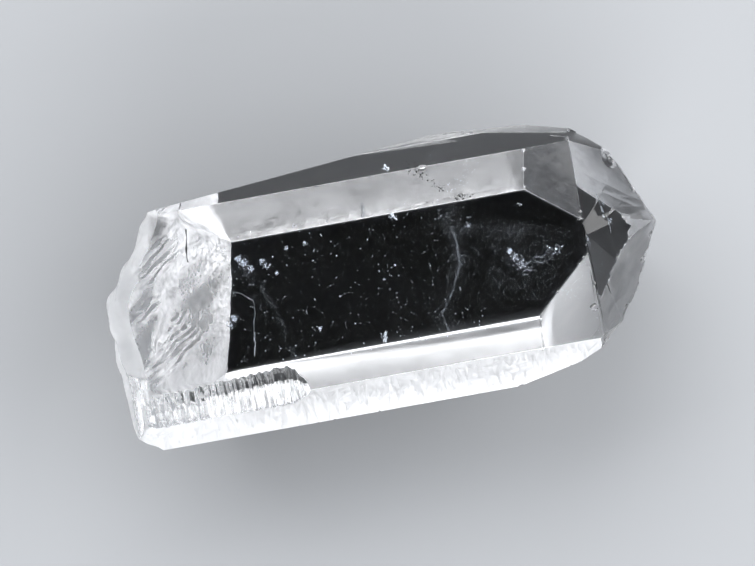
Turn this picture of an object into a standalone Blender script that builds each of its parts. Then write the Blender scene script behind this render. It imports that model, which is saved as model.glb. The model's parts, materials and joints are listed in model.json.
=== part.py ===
"""A single clear quartz point, lying on one of its prism faces.

One natural piece: a flattened six-sided prism that ends, towards +X, in three large
rhombohedral faces, and towards -X in the slanting, shell-like break where it came off its
matrix. A long comb-like chip follows one front edge near the break, and small nicks sit on the
tip and the edges.

Frame: +X along the crystal towards its tip, +Y across it, +Z up. The crystal rests on the floor
plane Z = 0, and the origin is under the middle of its bounding box.
"""

import math

import bmesh
import bpy
from mathutils import Vector, noise

MM = 0.001

# Driving dimensions, in millimetres. The prism axis runs along X through this place.
AXIS = (0.15, 0.19, 9.0)
ROUGH_BLOCK = 80.0

# Prism faces: direction of the face around the axis in degrees (0 is +Y, 90 is +Z), and its
# distance from the axis. A real crystal keeps the 60 degree steps and not the distances.
PRISM_FACES = {
    "front": (90.0, 7.13),
    "upper_front": (30.0, 11.62),
    "upper_back": (-30.0, 9.39),
    "back": (-90.0, 9.0),
    "lower_back": (-150.0, 10.04),
    "lower_front": (150.0, 11.62),
}

# Growth facets that taper the upper side edge both ways from its widest place: direction
# around the axis, lean towards +X in degrees, distance from the axis place.
TAPER_FACES = {
    "taper_to_break": (0.0, -5.1, 11.5),
    "taper_to_tip": (14.0, 5.4, 12.95),
}

# Tip faces: direction around the axis, lean towards +X, distance from the axis place. The lean
# is the angle of quartz between a prism face and the rhombohedral face above it, 38.2 degrees,
# apart from the upper one, which grew a little steeper.
TIP_FACES = {
    "rhomb_front": (90.0, 38.2, 17.33),
    "rhomb_upper": (-32.6, 32.9, 15.87),
    "rhomb_lower": (-150.0, 38.2, 16.37),
    "minor_upper": (30.0, 38.2, 20.85),
    "minor_back": (-90.0, 38.2, 19.39),
    "minor_lower": (150.0, 38.2, 20.7),
}

# Broken and worn flats that blunt the tip: the normal, and the distance from the axis place.
TIP_BREAKS = {
    "blunt_upper": ((0.890, 0.456, -0.12), 22.95),
    "blunt_end": ((0.992, 0.02, -0.13), 25.45),
    "blunt_corner": ((0.823, -0.568, -0.12), 21.35),
    "blunt_lower": ((0.875, -0.484, -0.12), 22.1),
    "worn_side": ((0.2, -0.98, 0.03), 14.4),
}

# The break at -X. Its crest bulges farthest, at one height, to this X for each Y.
BREAK_REACH = (
    (-13.5, -22.4),
    (-11.5, -24.6),
    (-10.8, -25.4),
    (-4.9, -25.8),
    (-0.6, -25.95),
    (1.8, -25.85),
    (3.1, -25.4),
    (3.8, -24.5),
    (5.3, -24.1),
    (6.5, -22.9),
    (9.0, -21.3),
    (10.0, -20.2),
    (13.0, -18.9),
)
CREST_HEIGHT = 12.0
FRONT_HEIGHT = AXIS[2] + PRISM_FACES["front"][1]
# Above the crest it draws back by this much at the front face. Below it, it slopes in to its
# foot on the back face, whose X changes by the skew for each millimetre of Y.
FRONT_SETBACK = 2.3
FOOT_X = -14.8
FOOT_SKEW = 0.21
SLOPE_CURVE = 1.15
LEDGE_SHARE = 0.45

# Relief of the break: shell-like ripples about one place in Y and Z, broad swells, fine grain.
SHELL_CENTRE = (-9.5, -6.5)
SHELL_WAVE = 2.3
SHELL_HEIGHT = 0.17
SHELL_WANDER = 1.1
SWELL_WAVE = 4.2
SWELL_HEIGHT = 0.42
GRAIN_WAVE = 1.3
GRAIN_HEIGHT = 0.2

# The block that the break takes away: its half width, the heights it spans, and its far end.
BREAK_HALF_WIDTH = 14.5
BREAK_SPAN = (-1.7, 18.3)
BREAK_FAR_X = -45.0
BREAK_CELL = 0.45

# The comb-like chip along the lower front edge: its two ends on X, where it leaves the front
# face and the lower front face, and how much it widens per millimetre towards the tip.
CHIP_START_X = -23.3
CHIP_END_X = -8.6
CHIP_END_LENGTH = 1.9
CHIP_END_RISE = 1.7
CHIP_FRONT_Y = -7.3
CHIP_SIDE = (-10.2, 14.4)
CHIP_WIDENING = 0.06
CHIP_DEPTH = 0.75
CHIP_OVERRUN = 1.4
CHIP_CELL = (0.21, 0.4)
COMB_PITCH = 0.84
COMB_HEIGHT = 0.22
COMB_WANDER = 0.5
CUTTER_THICKNESS = 6.0

# Small shell-like nicks on the edges: the middle of the scooping ball, and its radius.
NICKS = (
    ((23.4, 8.5, 13.6), 1.25),
    ((25.2, 4.3, 12.4), 1.15),
    ((24.95, -2.95, 12.6), 1.1),
    ((21.7, -8.5, 15.1), 1.05),
    ((19.3, -10.7, 15.1), 1.0),
    ((18.8, -6.2, 17.4), 1.35),
    ((5.2, 9.75, 16.95), 1.1),
    ((11.0, -13.15, 10.7), 1.05),
)
NICK_UNEVENNESS = 0.12
NICK_GRAIN = 0.7

QUARTZ_COLOUR = (0.93, 0.95, 0.97, 1.0)
QUARTZ_IOR = 1.544


def clear_scene():
    for obj in list(bpy.data.objects):
        bpy.data.objects.remove(obj)


def new_collection(name):
    collection = bpy.data.collections.new(name)
    bpy.context.scene.collection.children.link(collection)
    return collection


def quartz_material():
    material = bpy.data.materials.new("clear_quartz")
    material.use_nodes = True
    shader = material.node_tree.nodes["Principled BSDF"]
    shader.inputs["Base Color"].default_value = QUARTZ_COLOUR
    shader.inputs["Metallic"].default_value = 0.0
    shader.inputs["Roughness"].default_value = 0.03
    shader.inputs["IOR"].default_value = QUARTZ_IOR
    shader.inputs["Transmission Weight"].default_value = 1.0
    return material


def face_normal(around, lean):
    """A face's normal: its direction around the axis, leaning towards the tip."""
    a, b = math.radians(around), math.radians(lean)
    return Vector((math.sin(b), math.cos(b) * math.cos(a), math.cos(b) * math.sin(a)))


def crystal_planes():
    """(normal, distance from the axis place) of every flat face."""
    planes = [(face_normal(around, 0.0), d) for around, d in PRISM_FACES.values()]
    for around, lean, distance in (*TAPER_FACES.values(), *TIP_FACES.values()):
        planes.append((face_normal(around, lean), distance))
    planes += [(Vector(normal).normalized(), d) for normal, d in TIP_BREAKS.values()]
    return planes


def cut_block(planes):
    """A block cut down by each plane in turn, as a closed mesh with flat faces."""
    bm = bmesh.new()
    bmesh.ops.create_cube(bm, size=ROUGH_BLOCK * MM)
    for normal, distance in planes:
        cut = bmesh.ops.bisect_plane(
            bm,
            geom=bm.verts[:] + bm.edges[:] + bm.faces[:],
            dist=1e-8,
            plane_co=(Vector(AXIS) + normal * distance) * MM,
            plane_no=normal,
            clear_outer=True,
        )
        rim = [e for e in cut["geom_cut"] if isinstance(e, bmesh.types.BMEdge)]
        bmesh.ops.holes_fill(bm, edges=rim, sides=0)
    bmesh.ops.recalc_face_normals(bm, faces=bm.faces[:])
    return bm


def mesh_object(bm, name, collection):
    mesh = bpy.data.meshes.new(name)
    bm.to_mesh(mesh)
    bm.free()
    obj = bpy.data.objects.new(name, mesh)
    collection.objects.link(obj)
    return obj


def between(points, at):
    """The value at a place between named points, on straight lines."""
    for (a, low), (b, high) in zip(points, points[1:]):
        if at <= b:
            share = max(0.0, (at - a) / (b - a))
            return low + (high - low) * share
    return points[-1][1]


def ledges(share):
    """A share from 0 to 1 that lingers at 0, 0.5 and 1, as a break does at its ledges."""
    half = 2 * min(1.0, share)
    whole = min(1, math.floor(half))
    rise = half - whole
    stepped = (whole + rise * rise * (3 - 2 * rise)) / 2
    return share + LEDGE_SHARE * (stepped - share)


def slope_x(y, z):
    """The smooth form of the break: its X for a place across the crystal."""
    reach = between(BREAK_REACH, y)
    if z > CREST_HEIGHT:
        rise = (z - CREST_HEIGHT) / (FRONT_HEIGHT - CREST_HEIGHT)
        return reach + FRONT_SETBACK * rise * rise
    fall = (CREST_HEIGHT - z) / CREST_HEIGHT
    foot = FOOT_X + FOOT_SKEW * y
    return reach + (foot - reach) * ledges(fall) ** SLOPE_CURVE


def relief(y, z):
    """What the ripples, swells and grain add to the smooth form."""
    here = Vector((y, z, 0))
    swell = noise.noise(here / SWELL_WAVE + Vector((0, 0, 3.1)))
    grain = noise.noise(here / GRAIN_WAVE + Vector((0, 0, 9.7)))
    from_centre = math.dist((y, z), SHELL_CENTRE) + SHELL_WANDER * swell
    ripple = math.cos(2 * math.pi * from_centre / SHELL_WAVE)
    return SHELL_HEIGHT * ripple + SWELL_HEIGHT * swell + GRAIN_HEIGHT * grain


def grid_cutter(size, cell, place, thickness, name, collection):
    """A closed block whose near side is a fine grid.

    place turns the grid's (a, b), in millimetres from its middle, into a point of the near
    side, and thickness is the way from there to the far side.
    """
    bm = bmesh.new()
    counts = [max(1, round(length / step)) for length, step in zip(size, cell)]
    bmesh.ops.create_grid(bm, x_segments=counts[0], y_segments=counts[1], size=0.5)
    for vert in bm.verts:
        vert.co = place(vert.co.x * size[0], vert.co.y * size[1]) * MM
    far = bmesh.ops.extrude_face_region(bm, geom=bm.faces[:])["geom"]
    moved = [v for v in far if isinstance(v, bmesh.types.BMVert)]
    bmesh.ops.translate(bm, verts=moved, vec=thickness * MM)
    bmesh.ops.recalc_face_normals(bm, faces=bm.faces[:])
    return mesh_object(bm, name, collection)


def break_cutter(collection):
    """Everything beyond the break, as one solid whose near side is the break."""
    low, high = BREAK_SPAN

    def place(y, z_from_middle):
        z = z_from_middle + (low + high) / 2
        return Vector((slope_x(y, z) + relief(y, z), y, z))

    size = (2 * BREAK_HALF_WIDTH, high - low)
    thickness = Vector((BREAK_FAR_X - FOOT_X, 0, 0))
    return grid_cutter(size, (BREAK_CELL, BREAK_CELL), place, thickness, "cutter_break", collection)


def chip_floor(x, s, width):
    """Height of the chip's floor over the straight line from one of its edges to the other."""
    across = abs(2 * s / width - 1)
    wander = COMB_WANDER * noise.noise(Vector((x / 1.6, s / 2.5, 5.0)))
    tooth = abs(2 * ((x / COMB_PITCH + wander) % 1) - 1)
    comb = COMB_HEIGHT * (1 + wander) * (tooth - 0.5)
    past_end = max(0.0, (x - CHIP_END_X) / CHIP_END_LENGTH + 1)
    past_start = max(0.0, (CHIP_START_X - x) / CHIP_END_LENGTH)
    return comb - CHIP_DEPTH * (1 - across**1.5) + CHIP_END_RISE * (past_end**1.5 + past_start)


def chip_cutter(collection):
    """The sliver that broke off the lower front edge, with a ribbed inner side."""
    top = Vector((0, CHIP_FRONT_Y, FRONT_HEIGHT))
    slope = Vector((0, *CHIP_SIDE)) - top
    width = slope.length
    slope.normalize()
    outward = slope.cross(Vector((1, 0, 0)))
    middle = (CHIP_END_X + CHIP_START_X) / 2

    def place(a, b):
        x = middle + a
        s = width / 2 + b
        widened = CHIP_WIDENING * (x - CHIP_START_X) * (1 - s / width)
        edge_line = Vector((x, widened, 0)) + top + slope * s
        return edge_line + outward * chip_floor(x, s, width)

    size = (CHIP_END_X - CHIP_START_X + 2 * CHIP_END_LENGTH, width + 2 * CHIP_OVERRUN)
    thickness = outward * CUTTER_THICKNESS
    return grid_cutter(size, CHIP_CELL, place, thickness, "cutter_chip", collection)


def nick_cutters(collection):
    """A small uneven ball for each nick."""
    for number, (centre, radius) in enumerate(NICKS):
        bm = bmesh.new()
        bmesh.ops.create_icosphere(bm, subdivisions=3, radius=radius * MM)
        for vert in bm.verts:
            unevenness = noise.noise(vert.co / (NICK_GRAIN * MM) + Vector((number, 0, 0)))
            vert.co *= 1 + NICK_UNEVENNESS * unevenness
        bmesh.ops.translate(bm, verts=bm.verts, vec=Vector(centre) * MM)
        yield mesh_object(bm, f"cutter_nick_{number}", collection)


def cut_away(obj, cutter):
    """Takes the cutter's volume from the object, and keeps the cutter out of the render."""
    cutter.hide_render = True
    cutter.display_type = "WIRE"
    modifier = obj.modifiers.new(cutter.name, "BOOLEAN")
    modifier.operation = "DIFFERENCE"
    modifier.solver = "EXACT"
    modifier.object = cutter


def main():
    clear_scene()
    shown = new_collection("quartz_crystal")
    cutters = new_collection("cutters")
    crystal = mesh_object(cut_block(crystal_planes()), "crystal_point", shown)
    crystal.data.materials.append(quartz_material())
    cut_away(crystal, break_cutter(cutters))
    cut_away(crystal, chip_cutter(cutters))
    for nick in nick_cutters(cutters):
        cut_away(crystal, nick)


main()
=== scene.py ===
# %% [markdown]
# # A clear quartz point
#
# This lesson dresses one quartz crystal: a flattened six-sided prism, clear as glass, with a
# slanting tip at one end and a rippled break at the other. It lies on its back face and is seen
# from straight above. Quartz has no colour of its own, so everything here depends on three
# things: flat faces at the mineral's true angles, light that is trapped or let through at each
# face, and the fine relief of what is broken.
#
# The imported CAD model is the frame. It gives every plane and the form of the break, so no size
# is guessed twice.

# %% Load the frame
import json
import math
import random

import bmesh
import bpy
import numpy as np
from mathutils import Matrix, Vector, noise
from mathutils.bvhtree import BVHTree

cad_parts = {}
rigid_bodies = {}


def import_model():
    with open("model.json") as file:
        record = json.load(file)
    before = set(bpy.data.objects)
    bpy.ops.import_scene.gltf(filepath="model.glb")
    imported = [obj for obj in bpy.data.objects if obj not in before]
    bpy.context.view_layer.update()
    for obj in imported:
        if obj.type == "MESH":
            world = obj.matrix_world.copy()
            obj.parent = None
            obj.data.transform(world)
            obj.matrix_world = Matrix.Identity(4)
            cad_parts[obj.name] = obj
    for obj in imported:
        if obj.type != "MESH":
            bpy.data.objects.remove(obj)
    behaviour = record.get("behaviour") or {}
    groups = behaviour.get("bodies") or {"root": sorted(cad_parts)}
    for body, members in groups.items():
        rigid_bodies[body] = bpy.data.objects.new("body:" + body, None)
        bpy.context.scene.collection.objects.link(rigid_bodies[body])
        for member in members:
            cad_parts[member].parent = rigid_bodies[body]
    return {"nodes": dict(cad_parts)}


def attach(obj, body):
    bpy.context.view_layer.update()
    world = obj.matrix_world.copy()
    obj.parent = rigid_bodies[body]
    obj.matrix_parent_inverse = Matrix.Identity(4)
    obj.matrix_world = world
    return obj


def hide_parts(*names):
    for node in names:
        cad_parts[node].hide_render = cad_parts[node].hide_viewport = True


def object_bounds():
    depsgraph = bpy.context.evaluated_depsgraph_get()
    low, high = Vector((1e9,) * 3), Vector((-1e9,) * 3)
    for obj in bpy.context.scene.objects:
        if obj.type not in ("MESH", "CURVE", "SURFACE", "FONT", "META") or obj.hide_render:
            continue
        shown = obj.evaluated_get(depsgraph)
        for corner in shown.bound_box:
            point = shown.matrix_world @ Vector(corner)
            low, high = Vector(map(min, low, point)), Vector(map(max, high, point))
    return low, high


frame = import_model()
cad_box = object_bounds()
low, high = cad_box
MM = 0.001
print("CAD box in mm:", [[round(c / MM, 2) for c in corner] for corner in cad_box])

# %% [markdown]
# ## The view
#
# The photograph looks squarely at the front face, with the crystal's long axis turned by about
# ten degrees. One pixel is 0.094 mm at half the crystal's height. The camera comes first,
# because the small flaws inside the crystal are placed by the pixel at which they are seen.

# %% Set the camera
PHOTO_WIDTH, PHOTO_HEIGHT = 755, 566
PIXEL = 0.094 * MM
AXIS_TURN = math.radians(10.2)
CAMERA_HEIGHT = 600 * MM
FOCUS_HEIGHT = 9 * MM
CENTRE_PIXEL = (383.8, 277.3)
SENSOR_WIDTH = 36

right_way = Vector((math.cos(AXIS_TURN), -math.sin(AXIS_TURN), 0))
up_way = Vector((math.sin(AXIS_TURN), math.cos(AXIS_TURN), 0))

camera_data = bpy.data.cameras.new("camera")
camera_data.sensor_width = SENSOR_WIDTH
camera_data.lens = SENSOR_WIDTH * CAMERA_HEIGHT / (PHOTO_WIDTH * PIXEL)
camera_data.clip_start = 0.01
camera = bpy.data.objects.new("camera", camera_data)
bpy.context.scene.collection.objects.link(camera)
camera.location = (
    right_way * (PHOTO_WIDTH / 2 - CENTRE_PIXEL[0]) * PIXEL
    + up_way * (CENTRE_PIXEL[1] - PHOTO_HEIGHT / 2) * PIXEL
    + Vector((0, 0, FOCUS_HEIGHT + CAMERA_HEIGHT))
)
camera.rotation_euler = (0, 0, -AXIS_TURN)
bpy.context.scene.camera = camera


def seen_at(column, row, height):
    """The point at a height that the camera sees at a pixel of the photograph."""
    scale = (camera.location.z - height) / CAMERA_HEIGHT * PIXEL
    place = camera.location + right_way * (column - PHOTO_WIDTH / 2) * scale
    place += up_way * (PHOTO_HEIGHT / 2 - row) * scale
    return Vector((place.x, place.y, height))


print("lens", round(camera_data.lens, 1), "mm, camera at", [round(c / MM, 2) for c in camera.location])

# %% [markdown]
# ## Reading the faces back from the CAD
#
# The CAD node arrives as loose triangles. Merged, its flat faces are groups of triangles that
# share one plane, and everything else is broken surface. The planes could be typed in again, but
# reading them keeps the visual crystal exactly where the solid is.

# %% Find the flat faces
MM2 = MM * MM
WELD_DISTANCE = 0.0005 * MM
# Two triangles share a plane when their normals and their offsets agree this well.
SAME_WAY = 0.9999
SAME_OFFSET = 0.05 * MM


def merged_copy(node):
    """The CAD node's mesh with its loose triangles joined."""
    bm = bmesh.new()
    bm.from_mesh(frame["nodes"][node].data)
    bmesh.ops.remove_doubles(bm, verts=bm.verts, dist=WELD_DISTANCE)
    bm.normal_update()
    bm.faces.ensure_lookup_table()
    return bm


def flat_faces(bm, seed_area, least_area):
    """The flat faces as [normal, offset, area], and for each triangle the number of its face."""
    planes = []
    owner = [-1] * len(bm.faces)
    for face in sorted(bm.faces, key=lambda f: f.calc_area(), reverse=True):
        normal, area = face.normal, face.calc_area()
        offset = normal.dot(face.calc_center_median())
        for number, plane in enumerate(planes):
            if normal.dot(plane[0]) > SAME_WAY and abs(offset - plane[1]) < SAME_OFFSET:
                plane[2] += area
                owner[face.index] = number
                break
        else:
            if area > seed_area:
                owner[face.index] = len(planes)
                planes.append([normal.copy(), offset, area])
    kept = [number for number, plane in enumerate(planes) if plane[2] > least_area]
    owner = [kept.index(number) if number in kept else -1 for number in owner]
    return [planes[number] for number in kept], owner


cad = merged_copy("crystal_point")
planes, face_owner = flat_faces(cad, seed_area=0.2 * MM2, least_area=0.7 * MM2)
cad_tree = BVHTree.FromBMesh(cad)
print(len(cad.faces), "triangles,", len(planes), "flat faces")
for normal, offset, area in planes:
    print([round(c, 3) for c in normal], round(offset / MM, 3), "mm,", round(area / MM2, 1), "mm2")

# %% [markdown]
# ## Quartz, finished eight ways
#
# All of the crystal is one material, clear quartz with a refractive index of 1.544. What differs
# is the surface that growth or breakage left: some faces are as smooth as polished glass, some
# are etched to a satin, one is striated, and the break and the chip have both dull and glassy
# parts. So the finishes share one shader and differ only in roughness, in the grain that drives
# it, and in how much of the surface is too frosted to let light through.

# %% Node helper and colours
def add_node(tree, kind, inputs, **settings):
    """Adds a node, sets its properties, and fills its inputs with values or links."""
    node = tree.nodes.new(kind)
    for name, value in settings.items():
        setattr(node, name, value)
    for name, value in inputs.items():
        if isinstance(value, bpy.types.NodeSocket):
            tree.links.new(value, node.inputs[name])
        else:
            node.inputs[name].default_value = value
    return node


def mapped(tree, value, source, target):
    """A value carried over from one range to another and held within it."""
    ranges = dict(zip(("From Min", "From Max", "To Min", "To Max"), (*source, *target)))
    return add_node(tree, "ShaderNodeMapRange", {"Value": value, **ranges}).outputs["Result"]


def linear(code):
    """An sRGB hex colour as linear red, green, blue and alpha."""
    channels = [int(code[i : i + 2], 16) / 255 for i in (1, 3, 5)]
    channels = [c / 12.92 if c <= 0.04045 else ((c + 0.055) / 1.055) ** 2.4 for c in channels]
    return (*channels, 1.0)


def new_material(name):
    """A material with nodes, its tree, and its shader."""
    material = bpy.data.materials.new(name)
    material.use_nodes = True
    return material, material.node_tree, material.node_tree.nodes["Principled BSDF"]


# %% Mix the quartz finishes
QUARTZ_IOR = 1.544
QUARTZ_TINT = "#FBFCFE"
# The parts of the grain noise over which roughness and frost run through their whole ranges.
ROUGH_SPAN = (0.35, 0.65)
FROST_SPAN = (0.42, 0.58)


def quartz_finish(name, smoothest, roughest, grain, stretch=(1, 1, 1), relief=0.0, frost=None):
    """Clear quartz whose roughness wanders between two values over grains of a real size."""
    material, tree, shader = new_material(name)
    shader.inputs["Base Color"].default_value = linear(QUARTZ_TINT)
    shader.inputs["IOR"].default_value = QUARTZ_IOR
    shader.inputs["Transmission Weight"].default_value = 1.0
    place = add_node(tree, "ShaderNodeTexCoord", {})
    scaled = add_node(
        tree, "ShaderNodeMapping", {"Vector": place.outputs["Object"], "Scale": stretch}
    )
    grains = add_node(
        tree,
        "ShaderNodeTexNoise",
        {"Vector": scaled.outputs["Vector"], "Scale": 1 / grain, "Detail": 4.0, "Roughness": 0.6},
    )
    rough = mapped(tree, grains.outputs["Fac"], ROUGH_SPAN, (smoothest, roughest))
    tree.links.new(rough, shader.inputs["Roughness"])
    if frost:
        clear = mapped(tree, grains.outputs["Fac"], FROST_SPAN, (1 - frost[0], 1 - frost[1]))
        tree.links.new(clear, shader.inputs["Transmission Weight"])
    if relief:
        bump = add_node(
            tree, "ShaderNodeBump", {"Height": grains.outputs["Fac"], "Distance": relief}
        )
        tree.links.new(bump.outputs["Normal"], shader.inputs["Normal"])
    return material


FINISHES = [
    # A growth face is mirror smooth, with a breath of haze here and there.
    quartz_finish("polished_growth_face", 0.0, 0.03, 3.5 * MM),
    # The steep side faces are etched: light passes, but it spreads as it does through satin.
    quartz_finish("etched_growth_face", 0.3, 0.4, 2.2 * MM),
    # The lower front face has fine steps across the crystal, so its haze is drawn out with them.
    quartz_finish("striated_growth_face", 0.3, 0.5, 1.0 * MM, (5, 1, 1), frost=(0.4, 0.62)),
    # Most of the break is covered with ripples too fine to see one by one.
    quartz_finish("frosted_break", 0.3, 0.6, 0.4 * MM, relief=0.008 * MM),
    # Where the crack ran in sharp streaks, the quartz is as clear as fresh glass.
    quartz_finish("glassy_hackle", 0.03, 0.1, 0.6 * MM),
    # The steep wall of the chip is fresh glass, and its gentle slope has a white bloom in lines.
    quartz_finish("ribbed_chip", 0.02, 0.1, 0.4 * MM),
    quartz_finish("combed_chip", 0.1, 0.4, 0.5 * MM, (2.2, 0.3, 0.3), frost=(0.0, 0.8)),
    # The tip's undersides and the upper back side face are etched only a little.
    quartz_finish("satin_growth_face", 0.08, 0.18, 1.1 * MM),
]
POLISHED, ETCHED, STRIATED, FROSTED, GLASSY, RIBBED, COMBED, SATIN = range(len(FINISHES))


def finish_of(normal):
    """The finish that a flat growth face has, from the way it faces."""
    lower_front = normal.y < -0.8 and abs(normal.x) < 0.05 and normal.z > 0
    lower_side = normal.y < -0.3 and -0.9 < normal.z < 0.2
    far_side_or_tip = normal.y > 0.9 or normal.x > 0.8
    underside = normal.z < 0.2 and (normal.x > 0.5 or normal.y > 0.8)
    if lower_front:
        return STRIATED
    if lower_side or far_side_or_tip:
        return ETCHED
    return SATIN if underside else POLISHED


print("finishes:", [material.name for material in FINISHES])

# %% [markdown]
# ## Cutting the crystal again, with fine edges
#
# A crystal is a block bounded by planes, so it is made as a lapidary would make it: one block,
# cut once along each plane. No edge on a real crystal is a perfect line. A bevel of less than a
# tenth of a millimetre gives each one the thin bright line that the eye reads as an edge. At the
# tip the edges are worn wider, and what is worn is dull.

# %% Cut the block
BLOCK_SIZE = 80 * MM
CUT_TOLERANCE = 1e-8
SHORTEST_EDGE = 0.02 * MM
EDGE_WIDTH = 0.06 * MM
WORN_EDGE_WIDTH = 0.28 * MM
WORN_FROM = high.x - 3.6 * MM
BEVELLED_FROM = math.radians(18)
# Faces smaller than this are bevels, and are shaded as one rounded surface.
ROUNDED_BELOW = 0.6 * MM2


def cut_block(planes, size):
    """A cube cut down by every plane, closed again after each cut."""
    bm = bmesh.new()
    bmesh.ops.create_cube(bm, size=size)
    for normal, offset, _ in planes:
        cut = bmesh.ops.bisect_plane(
            bm,
            geom=bm.verts[:] + bm.edges[:] + bm.faces[:],
            dist=CUT_TOLERANCE,
            plane_co=normal * offset,
            plane_no=normal,
            clear_outer=True,
        )
        rim = [e for e in cut["geom_cut"] if isinstance(e, bmesh.types.BMEdge)]
        if rim:
            bmesh.ops.holes_fill(bm, edges=rim, sides=0)
    bmesh.ops.recalc_face_normals(bm, faces=bm.faces[:])
    return bm


def bevel(bm, edges, width):
    """Rounds edges with two narrow facets, and gives those facets back."""
    return bmesh.ops.bevel(
        bm,
        geom=edges,
        offset=width,
        offset_type="OFFSET",
        segments=2,
        profile=0.5,
        affect="EDGES",
        clamp_overlap=True,
        material=-1,
    )["faces"]


block = cut_block(planes, BLOCK_SIZE)
bmesh.ops.dissolve_degenerate(block, dist=SHORTEST_EDGE, edges=block.edges[:])
for face in block.faces:
    face.material_index = finish_of(face.normal)
long_edges = [tuple(v.co.copy() for v in e.verts) for e in block.edges if e.calc_length() > MM]
worn = [e for e in block.edges if min(v.co.x for v in e.verts) > WORN_FROM]
for face in bevel(block, worn, WORN_EDGE_WIDTH):
    face.material_index = ETCHED
sharp = [e for e in block.edges if e.is_manifold and e.calc_face_angle() > BEVELLED_FROM]
bevel(block, sharp, EDGE_WIDTH)
for face in block.faces:
    face.smooth = face.calc_area() < ROUNDED_BELOW
print(len(worn), "worn edges,", len(block.faces), "faces after the bevels")

# %% [markdown]
# ## The break, laid again as a fine sheet
#
# Quartz has no cleavage. It breaks like bottle glass, in curved shells with ripples, and where
# the crack tore along several levels at once it leaves hackles, which are sharp streaks that
# point the way the crack ran. The CAD break has the large form at half a millimetre. Here the
# same form is felt out on a finer grid, smoothed, and given the grain and the hackles.

# %% Feel out the CAD's broken surface
def grid_points(size, counts):
    """The numbers of each point of a grid, and its offsets from the grid's middle."""
    for i in range(counts[0] + 1):
        for j in range(counts[1] + 1):
            yield i, j, (i / counts[0] - 0.5) * size[0], (j / counts[1] - 0.5) * size[1]


def feel_out(size, counts, start_at, way):
    """Distances to the CAD's surface over a grid of rays, and which met broken or flat surface."""
    heights = np.zeros((counts[0] + 1, counts[1] + 1))
    broken = np.zeros_like(heights, dtype=bool)
    flat = np.zeros_like(broken)
    for i, j, a, b in grid_points(size, counts):
        place, _, index, distance = cad_tree.ray_cast(start_at(a, b), way)
        if place is not None:
            heights[i, j] = distance
            broken[i, j] = face_owner[index] < 0
            flat[i, j] = not broken[i, j]
    return heights, broken, flat


def neighbours(values):
    """The mean of each value's four neighbours."""
    padded = np.pad(values, 1, mode="edge")
    return (padded[:-2, 1:-1] + padded[2:, 1:-1] + padded[1:-1, :-2] + padded[1:-1, 2:]) / 4


def spread(values, known, rounds):
    """Carries the known values smoothly out over the rest of the grid."""
    values = np.where(known, values, values[known].mean())
    for _ in range(rounds):
        values = np.where(known, values, neighbours(values))
    return values


def smoothed(values, rounds):
    """The same heights with their small steps eased."""
    for _ in range(rounds):
        values = (values + neighbours(values)) / 2
    return values


BREAK_CELL = 0.09 * MM
BREAK_MARGIN = 1.5 * MM
SPREAD_ROUNDS = 600
EASING_ROUNDS = 14
CALMING_ROUNDS = 160
break_size = (high.y - low.y + 2 * BREAK_MARGIN, high.z - low.z + 2 * BREAK_MARGIN)
break_counts = tuple(round(length / BREAK_CELL) for length in break_size)
ALONG = Vector((1, 0, 0))


def before_break(a, b):
    """A start point outside the broken end, for grid offsets to the side and up."""
    return Vector((-BLOCK_SIZE, (high.y + low.y) / 2 + a, (high.z + low.z) / 2 + b))


# The deep part of the break is one calm shell, and the ledges are near its rim.
CALM_FROM, CALM_BY = -22.5 * MM, -20.0 * MM

# Where the break meets the back face, as two pixels, how fast it leaves that line upwards, and
# how far up it is held to it.
FOOT_PIXELS = ((231, 262), (228, 372))
FOOT_SLOPE = 1.2
FOOT_REACH = 3 * MM


def foot_of_break(y, z):
    """How far along the crystal the break is at least, near the back face."""
    upper, lower = (seen_at(column, row, 0) for column, row in FOOT_PIXELS)
    share = (y - upper.y) / (lower.y - upper.y)
    return upper.x + (lower.x - upper.x) * share - FOOT_SLOPE * z


heights, broken, _ = feel_out(break_size, break_counts, before_break, ALONG)
heights = spread(heights, broken, SPREAD_ROUNDS)
for i, j, a, b in grid_points(break_size, break_counts):
    start = before_break(a, b)
    if start.z < FOOT_REACH:
        heights[i, j] = max(heights[i, j], foot_of_break(start.y, start.z) - start.x)
heights = smoothed(heights, EASING_ROUNDS)
calm = np.clip((heights - BLOCK_SIZE - CALM_FROM) / (CALM_BY - CALM_FROM), 0, 1)
heights = heights * (1 - calm) + smoothed(heights, CALMING_ROUNDS) * calm
print("break sheet", heights.shape, "with", int(broken.sum()), "points on the break")

# %% Give it hackles and grain
# Each patch of hackles: the pixel at its middle, and its length and breadth in millimetres.
HACKLE_PATCHES = (
    ((156, 262), 6.0, 2.6),
    ((148, 309), 3.4, 1.9),
    ((178, 322), 2.6, 1.0),
    ((174, 352), 6.2, 3.0),
)
HACKLE_TURN = math.radians(37)
HACKLE_PITCH = 0.64 * MM
HACKLE_HEIGHT = 0.42 * MM
# A patch is strongest in its middle, and its rim is ragged.
PATCH_STRENGTH = 1.25
PATCH_RAGGEDNESS = 0.5
# One saw tooth, in shares of the pitch: where it starts, where its top is, and its two flanks.
TOOTH_START, TOOTH_TOP = 0.15, 0.75
TOOTH_RISE, TOOTH_FALL = 0.6, 0.25
# The grain of the frosted parts: the depth in mm, the size and the seed of each of its waves.
BREAK_GRAINS = ((0.026, 0.3 * MM, 1.0), (0.036, 0.8 * MM, 2.0))
GRAIN_LOST_TO_HACKLES = 0.7
SWELL_HEIGHT = 0.06 * MM
SWELL_SIZE = 2.4 * MM
# A place is glassy where it is hackled at least this much and at most this level.
HACKLED_FROM = 0.25
UPRIGHT = 0.36
hackle_way = Vector((math.cos(HACKLE_TURN), math.sin(HACKLE_TURN)))
hackle_side = Vector((-hackle_way.y, hackle_way.x))


def wander(place, size, seed):
    """Smooth noise from -1 to 1 with waves of a real size."""
    return noise.noise(place / size + Vector((seed, seed * 0.7, -seed)))


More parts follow.
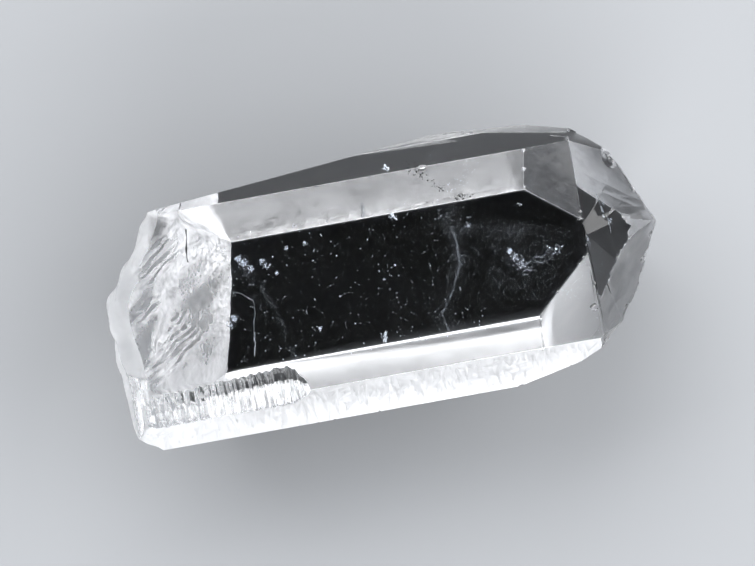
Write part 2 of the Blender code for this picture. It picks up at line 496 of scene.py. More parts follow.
def hackle_strength(place):
    """How strongly the surface is hackled at a place, from 0 to 1."""
    strength = 0.0
    for (column, row), length, breadth in HACKLE_PATCHES:
        middle = seen_at(column, row, place.z)
        offset = Vector((place.x - middle.x, place.y - middle.y))
        reach = (offset.dot(hackle_way) / (length * MM / 2)) ** 2
        reach += (offset.dot(hackle_side) / (breadth * MM / 2)) ** 2
        ragged = PATCH_RAGGEDNESS * wander(place, 0.8 * MM, 3.0)
        strength = max(strength, PATCH_STRENGTH - reach + ragged)
    return min(1.0, max(0.0, strength))


def hackle(place):
    """A saw-toothed ridge pattern along the hackle direction, from 0 to 1."""
    flat_place = Vector((place.x, place.y))
    along = flat_place.dot(hackle_way)
    across = flat_place.dot(hackle_side) + 0.3 * MM * wander(place, 1.7 * MM, 9.0)
    number, ridge = divmod(across / HACKLE_PITCH + 0.3 * wander(place, 2.5 * MM, 5.0), 1.0)
    rising = max(0.0, ridge - TOOTH_START) / TOOTH_RISE
    tooth = rising if ridge < TOOTH_TOP else (1 - ridge) / TOOTH_FALL
    # Each ridge starts and ends at its own place.
    return tooth * (0.75 + 0.35 * math.sin(along / (0.9 * MM) + 2.4 * number))


def break_relief(place):
    """The break's fine relief on top of the CAD's form, inwards, and how hackled it is."""
    strength = hackle_strength(place)
    relief = HACKLE_HEIGHT * strength * hackle(place)
    grain = sum(depth * wander(place, size, seed) for depth, size, seed in BREAK_GRAINS)
    relief += grain * MM * (1 - GRAIN_LOST_TO_HACKLES * strength)
    relief += SWELL_HEIGHT * wander(place, SWELL_SIZE, 4.0)
    return relief, strength


hackled = np.zeros_like(heights)
for i, j, a, b in grid_points(break_size, break_counts):
    place = before_break(a, b) + ALONG * heights[i, j]
    relief, hackled[i, j] = break_relief(place)
    heights[i, j] += relief
slope_side, slope_up = np.gradient(heights, BREAK_CELL)
level = np.abs(slope_up) / np.sqrt(1 + slope_side**2 + slope_up**2)
# Only the upright flanks of the hackles are glassy; the rest is as frosted as its surroundings.
glassy = (hackled > HACKLED_FROM) & (level < UPRIGHT)
print("glassy share of the sheet:", round(float(glassy.mean()), 3))

# %% [markdown]
# ## From sheets to cutters
#
# A sheet becomes a cutter when it is given depth: the grid is bent to the measured distances,
# and one extrusion pushes a copy of it away from the crystal. Its faces carry their own finish,
# and the Boolean hands that finish over to the surface that it cuts.

# %% Make a cutter from a sheet
def object_from(bm, name, materials):
    """A finished bmesh as an object in the scene."""
    mesh = bpy.data.meshes.new(name)
    bm.to_mesh(mesh)
    bm.free()
    for material in materials:
        mesh.materials.append(material)
    obj = bpy.data.objects.new(name, mesh)
    bpy.context.scene.collection.objects.link(obj)
    return obj


def sheet_cutter(name, size, counts, start_at, way, heights, depth, finish_at):
    """A closed block whose near side follows the heights along way, depth thick."""
    bm = bmesh.new()
    bmesh.ops.create_grid(bm, x_segments=counts[0], y_segments=counts[1], size=0.5)
    cell = {}
    for vert in bm.verts:
        i = round((vert.co.x + 0.5) * counts[0])
        j = round((vert.co.y + 0.5) * counts[1])
        start = start_at(vert.co.x * size[0], vert.co.y * size[1])
        vert.co = start + way * heights[i, j]
        cell[vert.index] = (i, j)
    for face in bm.faces:
        face.material_index = finish_at(*cell[face.verts[0].index])
        face.smooth = True
    far = bmesh.ops.extrude_face_region(bm, geom=bm.faces[:])["geom"]
    moved = [v for v in far if isinstance(v, bmesh.types.BMVert)]
    bmesh.ops.translate(bm, verts=moved, vec=-way * depth)
    bmesh.ops.recalc_face_normals(bm, faces=bm.faces[:])
    return object_from(bm, name, FINISHES)


def take_away(obj, cutter):
    """Cuts the cutter out of the object for good, and removes the cutter."""
    modifier = obj.modifiers.new("take_away", "BOOLEAN")
    modifier.operation = "DIFFERENCE"
    modifier.solver = "MANIFOLD"
    modifier.material_mode = "INDEX"
    modifier.object = cutter
    shape = obj.evaluated_get(bpy.context.evaluated_depsgraph_get())
    mesh = bpy.data.meshes.new_from_object(shape)
    obj.modifiers.clear()
    obj.data = mesh
    bpy.data.objects.remove(cutter)
    print(obj.name, "has", len(mesh.polygons), "faces")


BREAK_SHEET_DEPTH = 60 * MM
crystal = object_from(block, "clear_point", FINISHES)
take_away(
    crystal,
    sheet_cutter(
        "break_sheet",
        break_size,
        break_counts,
        before_break,
        ALONG,
        heights,
        BREAK_SHEET_DEPTH,
        lambda i, j: GLASSY if glassy[i, j] else FROSTED,
    ),
)

# %% [markdown]
# ## The comb-like chip
#
# A long flake has left the edge between the front face and the lower front face. Such a flake
# comes off in little jerks, and each one leaves a rib across the scar. The CAD has the scar's
# form and its main ribs. The finer ribs between them, less than half a millimetre apart, are
# added here on a grid that looks at the edge squarely.

# %% Cut the chip
CHIP_CELL = (0.06 * MM, 0.12 * MM)
CHIP_SIZE = (19.4 * MM, 6.4 * MM)
CHIP_MIDDLE = Vector((-15.4, -8.8, 15.3)) * MM
CHIP_START = 6 * MM
CHIP_TURN = math.radians(30)
CHIP_SHEET_DEPTH = 5 * MM
SCAR_SPREAD_ROUNDS = 60
SCAR_EASING_ROUNDS = 8
SCAR_GRAIN = 0.02 * MM
# Near the break the flake came off in wider jerks.
WIDE_RIBS_BEFORE = -18.3 * MM
WIDE_RIB_PITCH = 0.85 * MM
WIDE_RIB_HEIGHT = 0.6 * MM
RIB_PITCH = 0.4 * MM
RIB_HEIGHT = 0.13 * MM
FINE_RIB_PITCH = 0.17 * MM
FINE_RIB_HEIGHT = 0.035 * MM
# Where a rib's top is, and how long its steep flank is, in shares of its pitch.
RIB_TOP = 0.7
RIB_FALL = 0.3
# Where the scar rises less than at this percentile, it is clean glass: among the wide ribs, and
# among the others.
CLEAN_PERCENT = (70, 45)
# The sheet stays this far off the flat faces, and this far off the scar beyond the crystal.
CLEARANCE = 0.12 * MM
BEYOND_CLEARANCE = 1.5 * MM
chip_counts = tuple(round(length / cell) for length, cell in zip(CHIP_SIZE, CHIP_CELL))
chip_way = Vector((0, math.sin(CHIP_TURN), -math.cos(CHIP_TURN)))
chip_side = ALONG.cross(chip_way)


def above_chip(a, b):
    """A start point outside the chipped edge, for grid offsets along and across it."""
    return CHIP_MIDDLE + ALONG * a + chip_side * b - chip_way * CHIP_START


def ribs(place):
    """The depth of the ribs across the chip."""
    shift = 0.25 * MM * wander(place, 1.3 * MM, 21.0)
    wide = place.x < WIDE_RIBS_BEFORE
    pitch, height = (WIDE_RIB_PITCH, WIDE_RIB_HEIGHT) if wide else (RIB_PITCH, RIB_HEIGHT)
    ridge = ((place.x - WIDE_RIBS_BEFORE + shift) / pitch) % 1.0
    ridge = 1 - ridge if wide else ridge
    tooth = ridge / RIB_TOP if ridge < RIB_TOP else (1 - ridge) / RIB_FALL
    fine = abs(((place.x + 0.4 * shift) / FINE_RIB_PITCH) % 1.0 - 0.5) * 2
    uneven = 0.65 + 0.7 * wander(place, 1.1 * MM, 22.0)
    return height * tooth * uneven + FINE_RIB_HEIGHT * fine


chip, chip_broken, chip_flat = feel_out(CHIP_SIZE, chip_counts, above_chip, chip_way)
scar = spread(chip, chip_broken, SCAR_SPREAD_ROUNDS)
rise = np.gradient(smoothed(scar, SCAR_EASING_ROUNDS), axis=1) / CHIP_CELL[1]
along_chip = np.linspace(-0.5, 0.5, chip_counts[0] + 1) * CHIP_SIZE[0] + CHIP_MIDDLE.x
in_wide_ribs = (along_chip < WIDE_RIBS_BEFORE)[:, None]
clean = rise < np.where(in_wide_ribs, *np.percentile(rise[chip_broken], CLEAN_PERCENT))
print("clean share of the scar:", round(float(clean[chip_broken].mean()), 3))
for i, j, a, b in grid_points(CHIP_SIZE, chip_counts):
    place = above_chip(a, b) + chip_way * scar[i, j]
    scar[i, j] += ribs(place) + SCAR_GRAIN * wander(place, 0.3 * MM, 23.0)
around = np.where(chip_flat, chip - CLEARANCE, scar - BEYOND_CLEARANCE)
chip = np.where(chip_broken, scar, around)
take_away(
    crystal,
    sheet_cutter(
        "chip_sheet",
        CHIP_SIZE,
        chip_counts,
        above_chip,
        chip_way,
        chip,
        CHIP_SHEET_DEPTH,
        lambda i, j: RIBBED if clean[i, j] else COMBED,
    ),
)

# %% [markdown]
# ## Growth steps on the lower front face
#
# Prism faces of quartz are striated across the crystal: growth paused and went on, and left
# shallow steps. On this face they show as short frosty dashes. They are cut as real grooves
# about a hundredth of a millimetre deep, because a groove catches light from both of its sides,
# which a painted line can't do.

# %% Cut the growth steps
STEP_CELL = (0.085 * MM, 0.4 * MM)
STEP_DEPTH = 0.014 * MM
STEP_SHEET_WIDTH = 8 * MM
STEP_SHEET_DEPTH = 2 * MM
# The middle of the striated face in mm, how many times longer than wide its steps are, and how
# far the noise has to rise before there is a step.
STEP_MIDDLE = Vector((0, -10.7, 13.4))
STEP_STRETCH = 7
STEP_FROM = 0.1
stepped = next(plane for plane in planes if finish_of(plane[0]) == STRIATED)
step_way = -stepped[0]
step_side = ALONG.cross(step_way)
step_size = (high.x - low.x, STEP_SHEET_WIDTH)
step_counts = tuple(round(length / cell) for length, cell in zip(step_size, STEP_CELL))
step_middle = stepped[0] * stepped[1] + step_side * STEP_MIDDLE.dot(step_side) * MM


def above_steps(a, b):
    """A start point on the striated face's plane, for grid offsets along and across it."""
    return step_middle + ALONG * a + step_side * b


steps = np.zeros((step_counts[0] + 1, step_counts[1] + 1))
for i, j, a, b in grid_points(step_size, step_counts):
    place = above_steps(a, b)
    drawn_out = Vector((place.x, place.y / STEP_STRETCH, place.z / STEP_STRETCH))
    steps[i, j] = wander(drawn_out, 0.3 * MM, 31.0) + 0.5 * wander(place, 2.4 * MM, 32.0)
steps = np.where(steps > STEP_FROM, steps * STEP_DEPTH, -CLEARANCE)
take_away(
    crystal,
    sheet_cutter(
        "step_sheet",
        step_size,
        step_counts,
        above_steps,
        step_way,
        steps,
        STEP_SHEET_DEPTH,
        lambda i, j: STRIATED,
    ),
)

# %% [markdown]
# ## Nicks along the edges
#
# Quartz is brittle, so its edges are never whole. The CAD has the larger nicks, and they are
# found again as small islands of broken surface. The tip's outline is bitten shallowly, two
# edges near it sparkle with crumbs, and tiny nicks, a tenth to four tenths of a millimetre
# across, are strung along all edges. Each one is an uneven ball taken away.

# %% Cut the nicks
HANDFUL = 60
BALL_UNEVENNESS = 0.25
# An island with more triangles than this and less area than this is a nick of the CAD. Its ball
# is raised by a share of its reach, and is larger than its reach by a factor.
ISLAND_TRIANGLES = 12
ISLAND_AREA = 12 * MM2
NICK_RAISE = 0.75
NICK_GROWTH = 1.1
NICK_COUNT = 150
NICK_LEAST, NICK_MOST = 0.06 * MM, 0.2 * MM
NICK_JITTER = 0.5
# Where the tip's outline is bitten: the pixel, the bite's radius and its depth in mm.
TIP_BITES = (
    ((578, 133), 1.2, 0.3),
    ((604, 154), 1.5, 0.4),
    ((622, 173), 1.2, 0.28),
    ((634, 190), 1.0, 0.3),
    ((645, 205), 0.8, 0.2),
    ((652, 238), 0.8, 0.24),
    ((648, 256), 1.1, 0.3),
    ((640, 276), 1.2, 0.24),
    ((629, 308), 1.6, 0.4),
    ((612, 334), 1.2, 0.3),
)
SIGHT_STEPS = 40
# Edges that sparkle with crumbs broken off, as lines between pixels, how many pixels the crumbs
# stray from them, and the crumbs' least and largest radius in mm.
SPARKLE_LINES = (((530, 142), (572, 134)), ((548, 138), (572, 134)), ((574, 140), (600, 336)))
SPARKLE_COUNT = 90
SPARKLE_BLUR = 0.8
SPARKLE_RADII = (0.05, 0.11)
chance = random.Random(7)


def cad_nicks():
    """The triangles of each small island of broken surface in the CAD."""
    left = {face.index for face in cad.faces if face_owner[face.index] < 0}
    while left:
        island, edge = [], [left.pop()]
        while edge:
            face = cad.faces[edge.pop()]
            island.append(face)
            for near in {other.index for e in face.edges for other in e.link_faces} & left:
                left.discard(near)
                edge.append(near)
        area = sum(face.calc_area() for face in island)
        if len(island) > ISLAND_TRIANGLES and area < ISLAND_AREA:
            yield island


def by_the_handful(items, add_one, handful=HANDFUL):
    """All items in one bmesh. Each operator looks at its whole bmesh, so few are added at once."""
    joined = bmesh.new()
    carrier = bpy.data.meshes.new("carrier")
    for first in range(0, len(items), handful):
        bm = bmesh.new()
        for item in items[first : first + handful]:
            add_one(bm, item)
        bm.to_mesh(carrier)
        bm.free()
        joined.from_mesh(carrier)
    bpy.data.meshes.remove(carrier)
    return joined


def uneven_balls(balls):
    """Small uneven balls, from their middles and radii, joined to one cutter."""

    def add_ball(bm, ball):
        middle, radius = ball
        verts = bmesh.ops.create_icosphere(bm, subdivisions=2, radius=radius)["verts"]
        for vert in verts:
            vert.co *= 1 + BALL_UNEVENNESS * wander(vert.co + middle, radius * 1.2, 41.0)
        bmesh.ops.translate(bm, verts=verts, vec=middle)

    joined = by_the_handful(balls, add_ball)
    for face in joined.faces:
        face.material_index = GLASSY
        face.smooth = True
    return object_from(joined, "nick_balls", FINISHES)


def outline_at(column, row):
    """The place on the CAD's surface that comes nearest to the line of sight through a pixel."""
    sight = [seen_at(column, row, high.z * step / SIGHT_STEPS) for step in range(1, SIGHT_STEPS)]
    hits = [cad_tree.find_nearest(place) for place in sight]
    return min(hits, key=lambda hit: hit[3])[:2]


nicks = []
for (column, row), radius, depth in TIP_BITES:
    place, outward = outline_at(column, row)
    outward = Vector((outward.x, outward.y, 0)).normalized()
    nicks.append((place + outward * (radius - depth) * MM, radius * MM))
for _ in range(SPARKLE_COUNT):
    start, end = chance.choice(SPARKLE_LINES)
    share = chance.random()
    column = start[0] + (end[0] - start[0]) * share + chance.gauss(0, SPARKLE_BLUR)
    row = start[1] + (end[1] - start[1]) * share + chance.gauss(0, SPARKLE_BLUR)
    nicks.append((seen_at(column, row, high.z), chance.uniform(*SPARKLE_RADII) * MM))
islands = list(cad_nicks())
for island in islands:
    area = sum(face.calc_area() for face in island)
    middle = sum((face.calc_center_median() * face.calc_area() for face in island), Vector()) / area
    outward = sum((face.normal * face.calc_area() for face in island), Vector()).normalized()
    reach = math.sqrt(area / math.pi)
    print("CAD nick at", [round(c / MM, 1) for c in middle], "reach", round(reach / MM, 2), "mm")
    nicks.append((middle + outward * reach * NICK_RAISE, reach * NICK_GROWTH))
for _ in range(NICK_COUNT):
    start, end = chance.choice(long_edges)
    place = start.lerp(end, chance.random())
    radius = NICK_LEAST + (NICK_MOST - NICK_LEAST) * chance.random() ** 2
    jitter = Vector([chance.uniform(-1, 1) for _ in range(3)]) * radius * NICK_JITTER
    nicks.append((place + jitter, radius))
take_away(crystal, uneven_balls(nicks))
print(len(islands), "nicks from the CAD,", len(nicks), "in all")

SHARP_FROM = math.radians(38)
crystal.data.set_sharp_from_angle(angle=SHARP_FROM)
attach(crystal, "root")
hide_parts("crystal_point")

# %% [markdown]
# ## Flaws inside the crystal
#
# A clear point is never empty. Healed cracks leave veils of tiny fluid-filled cavities, and
# fresh cracks hold a film of air. The wall of such a cavity mirrors all light that meets it at a
# slant, so each one looks like a speck of silver. That is why the flaws are made as fine silvery
# grains and films, real pieces at real depths that shift against each other as the view turns.

# %% Mix the flaw materials
def silvery(name, code, smoothest, roughest, grain):
    """A cavity wall in total reflection, which the eye reads as frosted silver. In dark grey it makes
    the dark grains, and on the open slit it is painted shade.
    """
    material, tree, shader = new_material(name)
    place = add_node(tree, "ShaderNodeTexCoord", {})
    grains = add_node(
        tree, "ShaderNodeTexNoise", {"Vector": place.outputs["Object"], "Scale": 1 / grain}
    )
    rough = mapped(tree, grains.outputs["Fac"], (0.0, 1.0), (smoothest, roughest))
    tree.links.new(rough, shader.inputs["Roughness"])
    shader.inputs["Base Color"].default_value = linear(code)
    shader.inputs["Metallic"].default_value = 1.0
    return material


cavity = silvery("fluid_cavity", "#E9F0FC", 0.05, 0.35, 0.2 * MM)
air_film = silvery("air_film", "#DDE4EC", 0.3, 0.7, 0.4 * MM)
# Dark grey metal for the dark grains, and painted shade on the open slit, where an open crack seen
# edge on shows dark.
dark_grain_and_slit_shade = silvery("dark_grain_and_painted_slit_shade", "#2A282B", 0.5, 0.9, 0.1 * MM)


# %% Scatter specks
SPECK_MARGIN = 0.25 * MM
DRAWN_REACH = 0.42 * MM


def inside(place, margin):
    """Whether a place is in the quartz, a margin away from every face and from the break."""
    if any(place.dot(normal) > offset - margin for normal, offset, _ in planes):
        return False
    hit, normal, _, distance = cad_tree.find_nearest(place)
    return distance > margin and (place - hit).dot(normal) < 0


def speck_cloud(name, places, least, most, material, seed, margin=SPECK_MARGIN, drawn=None):
    """Many tiny uneven grains, joined to one piece, or drawn out along a way if one is given."""
    pick = random.Random(seed)
    places = [place for place in places if inside(place, margin)]
    if drawn:
        ends = (-drawn * DRAWN_REACH, drawn * DRAWN_REACH)
        places = [place for place in places if all(inside(place + end, margin) for end in ends)]

    def add_grain(bm, place):
        radius = least + (most - least) * pick.random() ** 3
        turn = Matrix.Rotation(pick.uniform(0, math.tau), 4, "X")
        turn = Matrix.Rotation(pick.uniform(0, math.tau), 4, "Z") @ turn
        shape = Matrix.Diagonal((1, pick.uniform(0.5, 1), pick.uniform(0.4, 1), 1))
        if drawn:
            turn = drawn.to_track_quat("Z", "X").to_matrix().to_4x4()
            shape = Matrix.Diagonal((1, 0.6, pick.uniform(3, 12), 1))
        matrix = Matrix.Translation(place) @ turn @ shape
        bmesh.ops.create_icosphere(bm, subdivisions=1, radius=radius, matrix=matrix)

    obj = object_from(by_the_handful(places, add_grain), name, [material])
    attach(obj, "root")
    print(name, len(places), "specks,", len(obj.data.polygons), "faces")


def along_path(path, share):
    """The place at a share of the way along a path of pixels."""
    step = share * (len(path) - 1)
    number = min(int(step), len(path) - 2)
    (column, row), (next_column, next_row) = path[number], path[number + 1]
    part = step - number
    return column + (next_column - column) * part, row + (next_row - row) * part


def veil(path, count, deep, shallow, lean, blur, seed):
    """Places on a healed crack: a curved sheet through the crystal, dense in patches."""
    pick = random.Random(seed)
    places = []
    while len(places) < count:
        share, depth = pick.random(), pick.random()
        column, row = along_path(path, share)
        height = deep + (shallow - deep) * depth
        column += lean * (depth - 0.5) + pick.gauss(0, blur)
        row += pick.gauss(0, blur)
        place = seen_at(column, row, height)
        if wander(place, 1.6 * MM, seed) > pick.uniform(-0.5, 0.4):
            places.append(place)
    return places


# %% Lay the veils
CURVED_VEIL = (
    (470, 160),
    (452, 186),
    (446, 212),
    (456, 240),
    (460, 265),
    (452, 293),
    (442, 314),
    (450, 334),
)
SLANTING_VEIL = ((238, 268), (262, 288), (276, 310), (288, 338), (298, 362))
UPPER_VEIL = ((430, 222), (452, 232), (480, 226), (506, 232), (530, 226))

VEIL_SEED = 11
# Each veil: its path, number of grains, lowest and highest place in mm, lean and blur in
# pixels, and the radius of its largest grains in mm.
VEILS = {
    "curved_veil": (CURVED_VEIL, 900, 2, 14, 20, 2.0, 0.035),
    "curved_veil_edge": (CURVED_VEIL[2:], 800, 12.0, 14, 1, 0.7, 0.03),
    "slanting_veil": (SLANTING_VEIL, 420, 10, 12, 5, 1.6, 0.03),
    "upper_veil": (UPPER_VEIL, 500, 4, 12, 14, 5.0, 0.03),
}
for seed, (name, veil_values) in enumerate(VEILS.items(), VEIL_SEED):
    path, count, deep, shallow, lean, blur, most = veil_values
    places = veil(path, count, deep * MM, shallow * MM, lean, blur, seed)
    speck_cloud(name, places, 0.01 * MM, most * MM, cavity, seed)


# %% Spread the haze and the flecks
HAZE_PIXELS = ((455, 225), (592, 300))
FLECKS = (
    # The pixel of each white fleck, its height in mm, its size in mm, and its number of grains.
    ((509, 251), 10, 0.26, 260),
    ((514, 257), 10, 0.45, 90),
    ((521, 264), 9, 0.7, 110),
    ((527, 269), 9, 0.8, 60),
    ((557, 250), 9, 0.6, 50),
    ((548, 253), 9, 0.9, 60),
    ((538, 258), 9, 0.9, 40),
    ((238, 259), 12, 0.35, 160),
    ((244, 263), 12, 0.5, 200),
    ((251, 269), 12, 0.4, 90),
    ((262, 261), 12, 0.3, 90),
    ((266, 266), 12, 0.4, 60),
    ((234, 318), 12, 0.4, 200),
    ((231, 325), 12, 0.5, 70),
    ((286, 248), 12, 0.2, 30),
    ((305, 243), 12, 0.25, 50),
    ((277, 273), 12, 0.2, 40),
    ((320, 328), 10, 0.2, 60),
    ((384, 336), 8, 0.4, 60),
    ((395, 265), 9, 0.12, 30),
    ((384, 279), 9, 0.2, 20),
    ((392, 217), 6, 0.4, 60),
    ((519, 205), 10, 0.3, 30),
    ((468, 226), 10, 0.4, 30),
    ((600, 204), 13, 0.4, 30),
    ((607, 222), 12.7, 0.4, 30),
)
DUST_BOX = Vector((-15, -6.5, 4.5)) * MM, Vector((9, 6.5, 14)) * MM


def haze(count, seed):
    """Places of a thin cloud in the tip half of the crystal."""
    pick = random.Random(seed)
    (left, top), (right, bottom) = HAZE_PIXELS
    places = []
    while len(places) < count:
        column, row = pick.uniform(left, right), pick.uniform(top, bottom)
        place = seen_at(column, row, pick.uniform(2, 14) * MM)
        middle = 1 - abs(column - (left + right) / 2) / (right - left) * 1.6
        if wander(place, 2.6 * MM, seed) + 0.5 * wander(place, 0.9 * MM, seed) > 0.5 - middle:
            places.append(place)
    return places


def fleck_places(seed):
    """Places of the small dense clusters."""
    pick = random.Random(seed)
    for (column, row), height, size, count in FLECKS:
        middle = seen_at(column, row, height * MM)
        for _ in range(count):
            yield middle + Vector([pick.gauss(0, size * MM / 2.6) for _ in range(3)])


def dust_places(count, seed):
    """Places through the clear middle of the crystal, in drifts."""
    pick = random.Random(seed)
    while count:
        place = Vector([pick.uniform(a, b) for a, b in zip(*DUST_BOX)])
        if wander(place, 2.2 * MM, 71.0) > pick.uniform(-0.6, 0.5):
            count -= 1
            yield place


# Each cloud: the places of its grains, the least and the largest radius in mm, and its seed.
CLOUDS = {
    "haze": (haze(count=2200, seed=15), 0.008, 0.03, 15),
    "white_flecks": (fleck_places(seed=16), 0.015, 0.075, 16),
    "dust": (dust_places(count=1100, seed=17), 0.012, 0.07, 17),
}
for name, (places, least, most, seed) in CLOUDS.items():
    speck_cloud(name, places, least * MM, most * MM, cavity, seed)

# %% [markdown]
# ## Etch pits under the striated face
#
# Between the growth steps of the lower front face lie etch pits, drawn out the same way. They
# are narrow pockets just below the surface, crowded near the lower rim, and they break up the
# even frost of the face. Each is a tiny drawn-out grain about a tenth of a millimetre down.

# %% Draw the etch pits
# The upper rim of the striated face and its width, both across the crystal.
PIT_TOP = -9.1 * MM
PIT_WIDTH = 3.2 * MM
# How far below the face the pits lie, in mm, and how near to the surface they may come.
PIT_DEPTHS = (0.06, 0.16)
PIT_MARGIN = 0.04 * MM


def pit_places(count, seed):
    """Places just under the striated face, crowded towards its lower rim."""
    pick = random.Random(seed)
    normal, offset, _ = stepped
    while count:
        side = pick.random()
        place = Vector((pick.uniform(low.x, high.x), PIT_TOP - PIT_WIDTH * side, 0))
        place.z = (offset - normal.y * place.y) / normal.z
        crowd = 0.25 + 0.9 * side**3 + 0.6 * wander(place, 1.8 * MM, 61.0)
        if pick.random() < crowd:
            count -= 1
            yield place - normal * pick.uniform(*PIT_DEPTHS) * MM


pits = pit_places(count=600, seed=18)
speck_cloud("etch_pits", pits, 0.01 * MM, 0.025 * MM, cavity, 18, PIT_MARGIN, step_side)

# %% [markdown]
# ## Cracks
#
# A crack seen edge on is a crisp line, and seen flat it is a pale film. Each one here is a
# ribbon: a path of a few points pulled down into the depth, crumpled a little, and made thinner
# than a hair. Where a crack has healed, its ribbon has a gap. The open slit's ribbon is dark grey
# metal, painted shade for the dark of an open crack seen edge on.

# %% Pull the cracks
CRACKS = (
    # The path in pixels, its lowest and highest place in mm, its lean in pixels, and how much
    # of it is left open, from -0.5 for hardly any of it to 0.5 for nearly all of it.
    (((228, 290), (241, 294), (253, 300)), 11.4, 12.0, 0, 0.05),
    (((253, 300), (255, 310), (254, 340)), 11.4, 12.0, 0, 0.3),
    (((254, 332), (255, 345), (254, 356)), 11.4, 12.0, 1, 0.0),
    (((253, 300), (258, 291), (267, 280)), 11.5, 12.0, 0, -0.05),
    (((593, 195), (597, 204), (600, 212)), 12.9, 13.6, -2, 0.05),
    (((598, 207), (603, 218)), 12.7, 13.4, -4, 0.1),
    (((602, 214), (605, 223), (607, 234)), 12.2, 12.9, -2, 0.1),
    (((390, 214), (396, 220)), 5.0, 6.5, 2, 0.1),
    (((383, 342), (385, 331)), 5.0, 7.0, 3, 0.1),
)
# The open slit is painted shade: a dark ribbon where an open crack seen edge on shows dark.
PAINTED_SHADE_SLITS = ((((186, 229), (187, 240), (186, 251), (188, 262)), 7.4, 8.8, 1, 0.5),)
CRACK_THICKNESS = 0.012 * MM
CRACK_CRUMPLE = 0.12 * MM
CRACK_CUTS = 9


def crack_ribbons(name, cracks, material):
    """Crumpled ribbons from their paths down into the quartz, with parts of them healed."""

    def add_ribbon(bm, crack):
        path, deep, shallow, lean, left_open = crack
        verts = [bm.verts.new(seen_at(column, row, shallow * MM)) for column, row in path]
        edges = [bm.edges.new(pair) for pair in zip(verts, verts[1:])]
        pulled = bmesh.ops.extrude_edge_only(bm, edges=edges)["geom"]
        sunk = [v for v in pulled if isinstance(v, bmesh.types.BMVert)]
        down = Vector((lean * PIXEL, 0, (deep - shallow) * MM))
        bmesh.ops.translate(bm, verts=sunk, vec=down)
        bmesh.ops.subdivide_edges(bm, edges=bm.edges[:], cuts=CRACK_CUTS, use_grid_fill=True)
        for vert in bm.verts:
            vert.co.x += CRACK_CRUMPLE * wander(vert.co, 0.9 * MM, 51.0)
            vert.co.y += CRACK_CRUMPLE * wander(vert.co, 0.8 * MM, 52.0)
        healed = [
            face
            for face in bm.faces
            if wander(face.calc_center_median(), 0.4 * MM, 53.0) > left_open
        ]
        bmesh.ops.delete(bm, geom=healed, context="FACES")
        bmesh.ops.solidify(bm, geom=bm.faces[:], thickness=CRACK_THICKNESS)
        bmesh.ops.recalc_face_normals(bm, faces=bm.faces[:])

    obj = object_from(by_the_handful(cracks, add_ribbon, handful=1), name, [material])
    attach(obj, "root")
    print(name, len(obj.data.polygons), "faces")


crack_ribbons("crack_films", CRACKS, air_film)
# Painted shade: the slit's ribbon is dark grey metal standing for the dark of an open crack.
crack_ribbons("open_slit", PAINTED_SHADE_SLITS, dark_grain_and_slit_shade)

# %% Sow the dark grains
GRAIN_CRACK = ((408, 168), (420, 174), (430, 182), (446, 190), (456, 196), (470, 194))
GRAIN_COUNT = 170
GRAIN_DEEP, GRAIN_SHALLOW = 13.2 * MM, 15.2 * MM
grain_places = veil(GRAIN_CRACK, GRAIN_COUNT, GRAIN_DEEP, GRAIN_SHALLOW, 2, 2.2, 17)
speck_cloud("dark_grains", grain_places, 0.02 * MM, 0.11 * MM, dark_grain_and_slit_shade, 17)

# %% [markdown]
# ## The floor and the light
#
# The crystal lies on plain pale paper. The light is plain and soft: three large softboxes, one
# on each long side and one past the tip, set thirty to forty degrees up, because that is where
# the side faces and the tip mirror their light from. The room straight above is dark, so the
# front face mirrors nothing and the eye looks through it. A dark flag past the broken end keeps
# that part of the room from being mirrored. Light that has passed through the crystal isn't
# followed on to the paper, which keeps the paper right below the crystal dark, as under any
# thick clear stone.

# %% Lay the floor
PAPER_COLOUR = "#9FA1A4"
PAPER_GRAIN = 1.5 * MM
PAPER_RELIEF = 0.01 * MM
PAPER_RADIUS = 4.0
PAPER_DROP = Vector((0, 0, -0.05 * MM))

paper, paper_tree, paper_shader = new_material("matt_paper")
paper_place = add_node(paper_tree, "ShaderNodeTexCoord", {})
paper_grain = add_node(
    paper_tree,
    "ShaderNodeTexNoise",
    {"Vector": paper_place.outputs["Object"], "Scale": 1 / PAPER_GRAIN, "Detail": 3.0},
)
paper_bump = add_node(
    paper_tree, "ShaderNodeBump", {"Height": paper_grain.outputs["Fac"], "Distance": PAPER_RELIEF}
)
paper_tree.links.new(paper_bump.outputs["Normal"], paper_shader.inputs["Normal"])
paper_shader.inputs["Base Color"].default_value = linear(PAPER_COLOUR)
paper_shader.inputs["Roughness"].default_value = 0.9

paper_sheet = bmesh.new()
bmesh.ops.create_circle(paper_sheet, cap_ends=True, segments=64, radius=PAPER_RADIUS)
bmesh.ops.translate(paper_sheet, verts=paper_sheet.verts, vec=PAPER_DROP)
floor = object_from(paper_sheet, "floor", [paper])


# %% Set the lights
SOFTBOX_DISTANCE = 0.5


def softbox(name, towards, size, radiance):
    """A rectangular softbox that faces the crystal from a direction."""
    light = bpy.data.lights.new(name, "AREA")
    light.shape = "RECTANGLE"
    light.size, light.size_y = size
    light.energy = radiance * math.pi * size[0] * size[1]
    obj = bpy.data.objects.new(name, light)
    bpy.context.scene.collection.objects.link(obj)
    away = Vector(towards).normalized()
    obj.location = away * SOFTBOX_DISTANCE + Vector((0, 0, FOCUS_HEIGHT))
    obj.rotation_euler = away.to_track_quat("Z", "Y").to_euler()


# Each softbox: the way to it, its size in metres, and its radiance.
softbox("near_softbox", (0.15, -1, 0.52), (0.6, 0.28), 4.5)
softbox("far_softbox", (-0.28, 1, 0.9), (0.7, 0.3), 4.8)
softbox("tip_softbox", (1, 0, 0.75), (0.7, 0.3), 3.5)

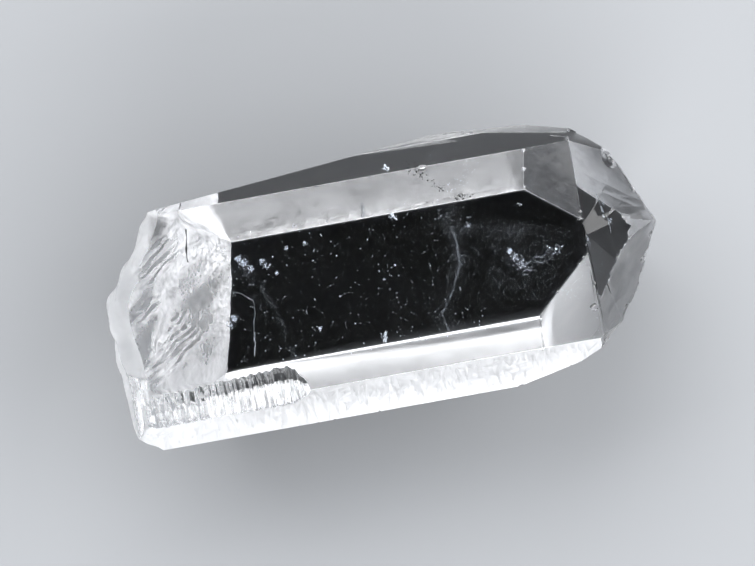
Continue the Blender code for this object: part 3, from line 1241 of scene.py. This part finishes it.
# How bright the room is, by the height above the horizon as a sine.
ROOM_GLOW = ((0.0, 0.3), (0.3, 0.8), (0.66, 0.8), (0.74, 0.4), (0.84, 0.9), (0.97, 0.02))
ROOM_COLOUR = "#F4F8FF"
# The way to the dark flag, the cosines at which its shade begins and is full, and what it leaves.
FLAG_WAY = (-0.76, -0.39, 0.53)
FLAG_EDGE = (0.75, 0.93)
FLAG_SHADE = 0.12

world = bpy.data.worlds.new("studio")
world.use_nodes = True
bpy.context.scene.world = world
room = world.node_tree
background = room.nodes["Background"]
sky = add_node(room, "ShaderNodeTexCoord", {})
height = add_node(room, "ShaderNodeSeparateXYZ", {"Vector": sky.outputs["Generated"]})
glow = add_node(room, "ShaderNodeValToRGB", {"Fac": height.outputs["Z"]})
stops = glow.color_ramp.elements
for number, (at, bright) in enumerate(ROOM_GLOW):
    stop = stops[number] if number < len(stops) else stops.new(at)
    stop.position = at
    stop.color = (bright, bright, bright, 1)
flag_way = add_node(room, "ShaderNodeCombineXYZ", dict(zip("XYZ", FLAG_WAY)))
towards_flag = add_node(
    room,
    "ShaderNodeVectorMath",
    {0: sky.outputs["Generated"], 1: flag_way.outputs["Vector"]},
    operation="DOT_PRODUCT",
)
flag = mapped(room, towards_flag.outputs["Value"], FLAG_EDGE, (1.0, FLAG_SHADE))
room_light = add_node(
    room, "ShaderNodeMath", {0: glow.outputs["Color"], 1: flag}, operation="MULTIPLY"
)
room.links.new(room_light.outputs["Value"], background.inputs["Strength"])
background.inputs["Color"].default_value = linear(ROOM_COLOUR)

scene = bpy.context.scene
scene.view_settings.view_transform = "Standard"
scene.cycles.caustics_refractive = False
scene.cycles.caustics_reflective = False

# %% [markdown]
# ## Finish
#
# Every visual piece's box is printed in mm, to set beside the CAD's box printed at the start.
# The visual crystal has to stay inside the CAD's box.

# %% Print the sizes and finish
for piece in bpy.data.objects:
    if piece.type == "MESH" and piece != floor:
        corners = np.array([piece.matrix_world @ Vector(corner) for corner in piece.bound_box])
        print(piece.name, (corners.min(axis=0) / MM).round(2), (corners.max(axis=0) / MM).round(2))
